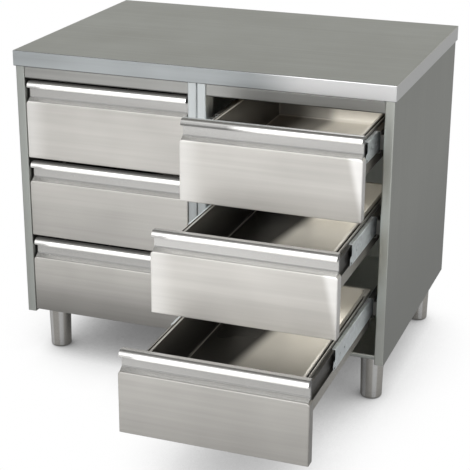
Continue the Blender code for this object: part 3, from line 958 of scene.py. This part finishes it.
@dataclass
class DrawerFronts:
    """Folded fronts: a pan for the face, and a handle strip with closed ends over it."""

    paints: Paints
    sheet: float = 0.0012
    sheet_gap: float = 0.0003
    depth: float = 0.025
    hem: float = 0.015
    handle_inset: float = 0.004
    lip_height: float = 0.016
    lip_round: float = 0.012
    recess_height: float = 0.027
    recess_depth: float = 0.016
    ledge_drop: float = 0.007
    ledge_bend: float = 0.0042
    ledge_footing: float = 0.004
    back_flange: float = 0.045
    bend: float = 0.0025
    edge_round: float = 0.0035
    edge_rounds: int = 4
    # Share of the top rounding, from its top, that takes painted shade in place of its highlight
    edge_unlit_share: float = 0.6
    corner_round: float = 0.009
    foot_round: float = 0.002
    # Light marks of the handle strip: where the nose's painted highlight starts and how fast it rises, and
    # the levels of painted shade on the top, recess, crease and ledge
    highlight_start: float = 0.52
    highlight_rise: float = 0.13
    top_light: float = 0.25
    recess_light: float = 0.41
    crease_light: float = 0.04
    ledge_light: float = 0.50
    fade_start: float = 0.6
    steps: int = 8

    def pan(self, width: float, face: float) -> Shell:
        """Face pan: a sheet profile from the middle of the face out over its rounded edge and back.

        The light mark is one, but for the upper part of the top edge's rounding, which takes painted shade.

        Args:
            width: width of the front.
            face: height of the face.
        Returns:
            The pan, with the middle of its foot at the origin and its face at y 0.
        """
        reach = self.edge_round * self.edge_rounds
        line = self.sheet / 2
        corners = (
            (reach, line, 0.0),
            (line, line, self.edge_round - line),
            (line, self.depth, 0.0),
        )
        points, normals = bent_line(corners, self.steps)
        inward = normals * line * math.copysign(1.0, normals[0, 1])
        outer = points - inward
        inner = points + inward
        flat = np.array(((reach + self.edge_round, 0.0),))
        back = np.array(((reach + self.edge_round, self.sheet),))
        profile = np.vstack((flat, outer, inner[::-1], back))
        radii = (self.corner_round, self.corner_round, self.foot_round, self.foot_round)
        shell = ringed(profile, (width / 2, face / 2), radii, Axis.Y, False, self.steps)
        shell = shell.moved((0.0, 0.0, face / 2))
        below = (face - shell.points[:, 2]) / self.edge_round
        return shell.marked(np.clip((below - self.edge_unlit_share) / (1.0 - self.edge_unlit_share), 0.0, 1.0))

    def painted_light_marks(self, lip: float, tone: float) -> np.ndarray:
        """Light marks round the strip's outline, for one stop along it.

        These paint light and shade: the flat top is in painted shade, the nose's painted highlight rises over
        a part of its bend to that of the lip's front, and the recess and its ledge have levels of their own
        with a painted dark crease in the bend between them.

        Args:
            lip: the level of the lip's front.
            tone: the front's share of the steel's brightness.
        Returns:
            Marks along the left side of the centre line and back along its right side.
        """
        bend = np.ones(self.steps + 1)
        share = np.linspace(0.0, 1.0, self.steps + 1)
        rise = np.clip((share - self.highlight_start) / self.highlight_rise, 0.0, 1.0)
        nose = self.top_light + (lip - self.top_light) * rise
        recess = self.recess_light * tone
        ledge = self.ledge_light * tone
        crease = bend * self.crease_light
        crease[0] = recess
        crease[-1] = ledge
        top = bend * self.top_light
        line = np.concatenate((top[:1], top, nose, bend * lip, bend * recess, crease, (ledge,)))
        return np.concatenate((line, line[::-1]))

    def handle(self, width: float, height: float, face: float, look: FrontLook) -> Shell:
        """Handle strip: the profile of the lip, the recess and the ledge carried along x, with end plates.

        The profile goes up the rear, forward to the nose, back under the lip to the recess's wall, down that
        and out along the ledge. The end plates' outline is its centre line, closed at the rear.

        Args:
            width: width of the front.
            height: height of the front.
            face: height of its face.
            look: how the front shows.
        Returns:
            The strip and its plates, with the middle of the front's foot at the origin.
        """
        line = self.sheet / 2
        top = height - line
        under = height - self.lip_height + line
        wall = self.recess_depth + line
        rear = self.depth - line
        ledge = height - self.lip_height - self.recess_height
        corners = (
            (rear, height - self.back_flange, 0.0),
            (rear, top, self.bend),
            (line, top, self.lip_round),
            (line, under, self.bend),
            (wall, under, self.bend),
            (wall, ledge, self.ledge_bend),
            (self.ledge_footing, face - line, 0.0),
        )
        reach = width / 2 - self.handle_inset
        stops = (-reach, look.fade * self.fade_start - reach, look.fade - reach, reach)
        shell = swept(strip(corners, self.sheet, self.steps), stops, Axis.X)
        # The lip's painted highlight stays at the start level near the left end and is full from the fade's
        # distance on.
        levels = (look.start, look.start, 1.0, 1.0)
        shell = shell.marked(np.concatenate([self.painted_light_marks(lip, look.tone) for lip in levels]))
        centre_line = bent_line(corners, self.steps)[0]
        outline = np.vstack((centre_line, ((rear, face - line),)))
        for low in (self.sheet_gap - reach, reach - self.sheet_gap - self.sheet):
            plate = swept(outline, (low, low + self.sheet), Axis.X)
            shell = shell + plate.marked(np.zeros(len(plate.points)))
        return shell

    def build(self) -> None:
        """Makes the six fronts."""
        # The handle strips share one steel whose bright nose is a painted highlight.
        painted_highlight_steel = self.paints.of(HANDLE_STEEL)
        for drawer, look in FRONT_LOOKS.items():
            brushed = self.paints.of(look.finish(drawer))
            node = "drawer_front_" + drawer
            low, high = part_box(node)
            width = high.x - low.x
            height = high.z - low.z
            face = height - self.lip_height - self.recess_height - self.ledge_drop
            place = ((low.x + high.x) / 2, low.y, low.z)
            hem = boxes(
                np.array(((self.sheet - width / 2, self.depth - self.sheet, self.sheet),)),
                np.array(((width / 2 - self.sheet, self.depth - self.sheet_gap, self.hem),)),
            )
            pan = (self.pan(width, face) + hem).moved(place).piece("front_pan_" + drawer, brushed)
            strip_shell = self.handle(width, height, face, look).moved(place)
            handle = strip_shell.piece("front_handle_" + drawer, painted_highlight_steel)
            for thing in (pan, handle):
                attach(thing, "drawer_" + drawer)
                LOG.info("made %s", thing.name)
            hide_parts(node)


@dataclass
class DrawerBoxes:
    """Drawer boxes: an apron with a turned-in rim, a pressed basin in it, and the slides' inner members."""

    paints: Paints
    sheet: float = 0.0010
    drop: float = 0.036
    apron: float = 0.100
    rim: float = 0.0135
    rim_edge: float = 0.00125
    slot: float = 0.005
    slot_end: float = 0.050
    flange: float = 0.006
    basin_depth: float = 0.109
    draft: float = 0.004
    basin_round: float = 0.010
    basin_rounds: int = 3
    lip_round: float = 0.0015
    corner_round: float = 0.003
    slide_height: float = 0.048
    slide_drop: float = 0.009
    slide_flange: float = 0.0085
    slide_sheet: float = 0.0015
    slide_bend: float = 0.002
    slide_start: float = 0.0027
    slide_gap: float = 0.0001
    # Painted light in the box: the highlight in the floor's bend, the flange's light level, and how far the
    # painted shadow's edge leans towards the rear.
    bend_glint: float = 0.6
    flange_light: float = 0.35
    shade_lean: float = 0.20
    steps: int = 8
    fold_steps: int = 4

    def basin(self, half: Sequence[float], top: float) -> Shell:
        """Pressed basin: a sheet profile from its flange over the lip, down the leaning wall to the floor.

        The flange and the middle of the bend round the floor have light marks, the bend's a painted
        highlight; the rest of the inside has none and takes the painted shadow.

        Args:
            half: half the frame's width and length.
            top: height of the frame's rim.
        Returns:
            The basin, about the frame's middle.
        """
        line = self.sheet / 2
        crest = top + self.sheet + line
        floor = top - self.basin_depth - line
        wall = self.rim - line
        corners = (
            (self.rim - self.flange, crest, 0.0),
            (wall, crest, self.lip_round),
            (wall + self.draft, floor, self.basin_round + line),
            (wall + self.draft + self.basin_rounds * self.basin_round, floor, 0.0),
        )
        points, normals = bent_line(corners, self.steps)
        inside = points + normals * line
        outside = points - normals * line
        profile = np.vstack((inside[::-1], outside))
        radii = (self.rim + self.basin_round,) * 4
        # The flange's end and the lip's bend come before the bend round the floor
        floor_bend = self.steps + 2
        half_bend = self.steps // 2
        light = np.zeros(len(points))
        light[:half_bend] = self.flange_light
        light[floor_bend + half_bend] = self.bend_glint
        rows = np.concatenate((light[::-1], np.ones(len(points))))
        shell = ringed(profile, half, radii, Axis.Z, False, self.steps)
        return shell.marked(np.repeat(rows, len(shell.points) // len(rows)))

    def frame(self, half: Sequence[float], top: float) -> Shell:
        """Apron with its upper edge turned in, and the rim's plates on both sides of the long slots.

        The apron is a folded strip carried round the box. Each end of the rim is one plate, and each side is
        a long plate inside the slot and two short ones beyond its ends.

        Args:
            half: half the frame's width and length.
            top: height of its rim.
        Returns:
            The frame, about its middle.
        """
        line = self.sheet / 2
        corners = (
            (line, top - self.apron, 0.0),
            (line, top - line, self.rim_edge - line),
            (self.rim_edge, top - line, 0.0),
        )
        radii = (self.corner_round,) * 4
        outline = strip(corners, self.sheet, self.fold_steps)
        shell = ringed(outline, half, radii, Axis.Z, True, self.steps)
        inner = self.rim_edge + self.slot
        deep = self.rim - self.sheet
        across, along = half
        lows = []
        highs = []
        for side in (-1.0, 1.0):
            lows.append((-across + self.rim_edge, side * along - (deep if side > 0 else -self.rim_edge)))
            highs.append((across - self.rim_edge, side * along + (deep if side < 0 else -self.rim_edge)))
            sides = (
                (deep, inner, -along + deep, along - deep),
                (inner, self.rim_edge, -along + deep, -along + self.slot_end),
                (inner, self.rim_edge, along - self.slot_end, along - deep),
            )
            for far, near, start, end in sides:
                edges = sorted((side * (across - far), side * (across - near)))
                lows.append((edges[0], start))
                highs.append((edges[1], end))
        low = np.column_stack((np.array(lows), np.full(len(lows), top - self.sheet)))
        high = np.column_stack((np.array(highs), np.full(len(highs), top)))
        return shell + boxes(low, high)

    def inner_members(self, half: Sequence[float], top: float, start: float) -> Shell:
        """The slides' inner members: a channel on each side of the box, open outwards.

        A folded strip of web and two flanges is carried along y, and its mirror image is the other side's.

        Args:
            half: half the frame's width and length.
            top: height of the frame's rim.
            start: where the members start along y.
        Returns:
            Both members, about the frame's middle.
        """
        line = self.slide_sheet / 2
        middle = top - self.slide_drop - self.slide_height / 2
        reach = self.slide_height / 2 - line
        web = line + self.slide_gap
        corners = (
            (self.slide_flange, reach, 0.0),
            (web, reach, self.slide_bend),
            (web, -reach, self.slide_bend),
            (self.slide_flange, -reach, 0.0),
        )
        outline = strip(corners, self.slide_sheet, self.fold_steps)
        channel = swept(outline, (start, half[1] - self.corner_round), Axis.Y).moved((half[0], 0.0, middle))
        return channel + channel.mirrored()

    def build(self) -> None:
        """Makes the six boxes."""
        # The inner members take the zinc that is darkened as painted shade.
        zinc = self.paints.of(SHADED_ZINC)
        for drawer, finish in BOX_FINISHES.items():
            steel = self.paints.of(finish)
            node = "drawer_box_" + drawer
            low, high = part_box(node)
            front_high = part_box("drawer_front_" + drawer)[1]
            top = front_high.z - self.drop
            half = ((high.x - low.x) / 2 - self.slide_flange, (high.y - low.y) / 2)
            place = ((low.x + high.x) / 2, (low.y + high.y) / 2, 0.0)
            body = (self.basin(half, top) + self.frame(half, top)).moved(place)
            box = body.piece("box_" + drawer, steel, lean=self.shade_lean)
            members = self.inner_members(half, top, self.slide_start - half[1]).moved(place)
            slides = members.piece("inner_rails_" + drawer, zinc)
            for thing, slot in ((box, Slot.BOX), (slides, Slot.ZINC)):
                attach(thing, "drawer_" + drawer)
                LOG.info("made %s", thing.name)
            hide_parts(node)


@dataclass
class Feet:
    """Tapered legs with their flange, and the levelling feet in them."""

    paints: Paints
    wall: float = 0.0015
    flange: float = 0.003
    top_radius: float = 0.0305
    foot_radius: float = 0.0280
    foot_height: float = 0.020
    foot_round: float = 0.006
    plug: float = 0.045
    plug_gap: float = 0.0003
    steps: int = 72
    round_steps: int = 8

    def leg(self, low: Vector, high: Vector) -> Shell:
        """Leg: a tapered wall under a wide flange, whose outline is turned.

        Args:
            low: low corner of the leg's box.
            high: high corner of the leg's box.
        Returns:
            The leg, about the vertical axis.
        """
        flange_radius = (high.x - low.x) / 2
        shoulder = high.z - self.flange
        bore = self.top_radius - self.wall
        outline = np.array(
            (
                (flange_radius, high.z),
                (flange_radius, shoulder),
                (self.top_radius, shoulder),
                (self.foot_radius, low.z),
                (self.foot_radius - self.wall, low.z),
                (bore, shoulder),
                (bore, high.z),
            )
        )
        return turned(outline, True, self.steps)

    def adjuster(self) -> Shell:
        """Levelling foot: a plug over a round tread whose lower edge is a quarter circle, turned.

        Returns:
            The foot, about the vertical axis, with its tread at height 0.
        """
        tread = self.foot_radius - self.foot_round
        plug = self.foot_radius - self.wall - self.plug_gap
        angle = np.linspace(0.0, math.pi / 2, self.round_steps + 1)
        edge = np.column_stack(
            (tread + self.foot_round * np.cos(angle), self.foot_round * (1.0 - np.sin(angle)))
        )
        crown = np.array(
            (
                (plug - self.wall, self.plug),
                (plug, self.plug - self.wall),
                (plug, self.foot_height),
                (self.foot_radius, self.foot_height),
            )
        )
        return turned(np.vstack((crown, edge)), False, self.steps)

    def build(self) -> None:
        """Makes the four legs and their feet."""
        material = self.paints.of(FOOT_STEEL)
        for corner in CORNERS:
            low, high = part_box("foot_leg_" + corner)
            place = ((low.x + high.x) / 2, (low.y + high.y) / 2, 0.0)
            leg = self.leg(low, high).moved(place).piece("leg_" + corner, material)
            foot = self.adjuster().moved(place).piece("foot_" + corner, material)
            for thing, body, node in (
                (leg, "cabinet", "foot_leg_"),
                (foot, "foot_" + corner, "foot_adjuster_"),
            ):
                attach(thing, body)
                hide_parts(node + corner)
                LOG.info("made %s", thing.name)


@dataclass
class Carcass:
    """The pieces that keep their solids: worktop, panels, rails, uprights and slides."""

    paints: Paints
    plain: tuple[str, ...] = ("back_panel", "base_tray", "bottom_rail")

    def slide_members(self, kind: str) -> tuple[str, ...]:
        """The nodes of one kind of slide member."""
        return tuple(f"{kind}_{drawer}_{hand}" for drawer in DRAWERS for hand in HANDS)

    def plan(self) -> tuple[tuple[Finish, tuple[str, ...]], ...]:
        """Which nodes take which finish.

        Returns:
            Pairs of a finish and the names of its nodes.
        """
        uprights = tuple(f"rear_upright_{column}_{side}" for column in COLUMNS for side in ("outer", "inner"))
        return (
            (WORKTOP_STEEL, ("worktop",)),
            (PARTITION_STEEL, tuple("partition_" + column for column in COLUMNS)),
            (RAIL_STEEL, tuple("top_rail_" + column for column in COLUMNS)),
            (CARCASS_STEEL, self.plain + uprights + ("side_panel_left",)),
            (RIGHT_PANEL_STEEL, ("side_panel_right",)),
            (CORE_BOARD, ("worktop_core",)),
            (SLIDE_ZINC, self.slide_members("middle_rail")),
            (SHADED_ZINC, self.slide_members("outer_rail")),
        )

    def dress(self, nodes: dict[str, bpy.types.Object]) -> None:
        """Gives each of these nodes its finish.

        Args:
            nodes: the frame's nodes by name.
        """
        for finish, names in self.plan():
            for name in names:
                self.paints.dress(nodes[name], finish)


@dataclass(frozen=True)
class SoftLamp:
    """A lamp far away: where its light comes from, its strength and width, and whether steel shows it."""

    name: str
    source: Direction
    strength: float
    width: float
    colour: Colour = WHITE
    shows: bool = True

    def hang(self) -> None:
        """Puts the lamp in the scene."""
        data = bpy.data.lights.new(self.name, "SUN")
        data.energy = self.strength
        data.angle = math.radians(self.width)
        data.color = self.colour
        lamp = bpy.data.objects.new(self.name, data)
        lamp.rotation_euler = Vector(self.source).to_track_quat("Z", "Y").to_euler()
        lamp.visible_glossy = self.shows
        bpy.context.scene.collection.objects.link(lamp)
        LOG.info("hung %s", self.name)


@dataclass
class Studio:
    """Floor, room light, lamps and camera."""

    floor_size: float = 60.0
    floor_level: float = -0.0005
    floor_colour: Colour = (0.85, 0.85, 0.85)
    shadow_reach: float = 0.36
    shadow_samples: int = 16
    shadow_range: Range = (0.03, 0.80)
    shadow_depth: float = 0.90
    pool_place: tuple[float, float] = (-0.5, -1.9)
    pool_range: Range = (0.2, 1.5)
    pool_levels: Range = (0.40, 1.00)
    room_front: Colour = WHITE
    room_back: Colour = (0.56, 0.54, 0.485)
    room_ceiling: Colour = (0.10, 0.10, 0.09)
    room_fill: float = 0.20
    back_range: Range = (-0.25, 0.55)
    ceiling_range: Range = (0.45, 0.75)
    ceiling_depth: Range = (-0.30, 0.0)
    eye: Direction = (1.211, -3.1195, 1.657)
    right: Direction = (0.9391, 0.3437, 0.0042)
    forward: Direction = (-0.3200, 0.8786, -0.3546)
    picture: float = 470.0
    focal: float = 1382.3
    sensor: float = 36.0
    sight: float = 200.0
    lamps: tuple[SoftLamp, ...] = (
        SoftLamp("key_lamp", (-0.28, -0.90, 0.33), 6.5, 14.0, (1.0, 0.985, 0.95), shows=False),
        SoftLamp("front_lamp", (0.0, -0.81, 0.59), 1.7, 72.0),
    )

    def seen(self, nodes: Nodes) -> Signal:
        """Which rays show the background.

        Args:
            nodes: the nodes of the floor or the room.
        Returns:
            One for rays from the camera, from gloss and through glass.
        """
        path = nodes.add("ShaderNodeLightPath").outputs
        unseen: Term = 1.0
        for name in ("Is Camera Ray", "Is Glossy Ray", "Is Transmission Ray"):
            unseen = (1.0 - Signal(nodes, path[name])) * unseen
        return 1.0 - unseen

    def pool(self, nodes: Nodes) -> Signal:
        """How bright the floor shows in steel: a pool of light in front, which fades with the distance.

        Args:
            nodes: the floor's nodes.
        Returns:
            The high level at the pool's place, and the low one far away.
        """
        ends = {0: nodes.place(), 1: (*self.pool_place, 0.0)}
        away = nodes.signal("ShaderNodeVectorMath", "Value", {"operation": "DISTANCE"}, ends)
        low, high = self.pool_levels
        return high - away.ramp(*self.pool_range) * (high - low)

    def floor_material(self) -> bpy.types.Material:
        """The floor's finish: matte for light that it passes on, and a white glow where it shows.

        Returns:
            A material whose glow is less where the cabinet stands close over the floor.
        """
        material, nodes = blank_material("pale_floor")
        matte = nodes.add("ShaderNodeBsdfDiffuse", None, {"Color": (*self.floor_colour, 1.0)})
        # The glow holds a painted shadow where the cabinet stands close over the floor, and in steel a
        # painted pool of light.
        samples = {"samples": self.shadow_samples}
        reach = {"Distance": self.shadow_reach}
        openness = nodes.signal("ShaderNodeAmbientOcclusion", "AO", samples, reach).ramp(*self.shadow_range)
        white = openness * self.shadow_depth + (1.0 - self.shadow_depth)
        camera = nodes.signal("ShaderNodeLightPath", "Is Camera Ray")
        level = camera + (1.0 - camera) * self.pool(nodes)
        glow = nodes.add("ShaderNodeEmission", None, {"Strength": white * level})
        both = {"Fac": self.seen(nodes), 1: matte.outputs[0], 2: glow.outputs[0]}
        nodes.show(nodes.add("ShaderNodeMixShader", None, both))
        return material

    def lay_floor(self) -> None:
        """A pale floor that shows white where it is open and keeps the cabinet's shadow."""
        span = np.array((-self.floor_size / 2, self.floor_size / 2))
        across, along = np.meshgrid(span, span)
        points = np.column_stack((across.ravel(), along.ravel(), np.full(across.size, self.floor_level)))
        mesh = bpy.data.meshes.new("floor")
        mesh.from_pydata(points.tolist(), [], lattice(2, 2, False, False).tolist())
        mesh.materials.append(self.floor_material())
        floor = bpy.data.objects.new("floor", mesh)
        bpy.context.scene.collection.objects.link(floor)
        LOG.info("laid the floor")

    def light(self) -> None:
        """A room that is white towards the front and duller behind and above, and the lamps.

        The camera itself sees white all round.
        """
        world = bpy.data.worlds.new("room")
        bpy.context.scene.world = world
        world.use_nodes = True
        nodes = Nodes(world.node_tree)
        _, depth, height = nodes.parts(nodes.add("ShaderNodeTexCoord").outputs["Generated"])
        overhead = height.ramp(*self.ceiling_range) * depth.ramp(*self.ceiling_depth)
        colour = nodes.blend(depth.ramp(*self.back_range), self.room_front, self.room_back)
        colour = nodes.blend(overhead, colour, self.room_ceiling)
        camera = nodes.signal("ShaderNodeLightPath", "Is Camera Ray")
        colour = nodes.blend(camera, colour, WHITE)
        strength = self.room_fill + self.seen(nodes) * (1.0 - self.room_fill)
        room = nodes.add("ShaderNodeBackground", None, {"Color": colour, "Strength": strength})
        nodes.show(room, "ShaderNodeOutputWorld")
        for lamp in self.lamps:
            lamp.hang()

    def place_camera(self) -> None:
        """The camera of the photograph: its matrix holds the right, upward and backward directions."""
        scene = bpy.context.scene
        data = bpy.data.cameras.new("camera")
        data.sensor_width = self.sensor
        data.lens = self.sensor * self.focal / self.picture
        data.clip_end = self.sight
        camera = bpy.data.objects.new("camera", data)
        right = Vector(self.right).normalized()
        backward = -Vector(self.forward).normalized()
        upward = backward.cross(right).normalized()
        right = upward.cross(backward)
        turn = Matrix((right, upward, backward)).transposed().to_4x4()
        camera.matrix_world = Matrix.Translation(self.eye) @ turn
        scene.collection.objects.link(camera)
        scene.camera = camera
        scene.view_settings.view_transform = "Standard"
        LOG.info("placed the camera")


def main() -> None:
    """Loads the frame, builds and dresses the pieces, and sets the studio."""
    logging.basicConfig(level=logging.INFO, format="%(name)s: %(message)s")
    for old in list(bpy.data.objects):
        bpy.data.objects.remove(old)
    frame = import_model()
    studio = Studio()
    studio.place_camera()
    studio.lay_floor()
    studio.light()
    paints = Paints()
    Carcass(paints).dress(frame["nodes"])
    DrawerFronts(paints).build()
    DrawerBoxes(paints).build()
    Feet(paints).build()


if __name__ == "__main__":
    main()
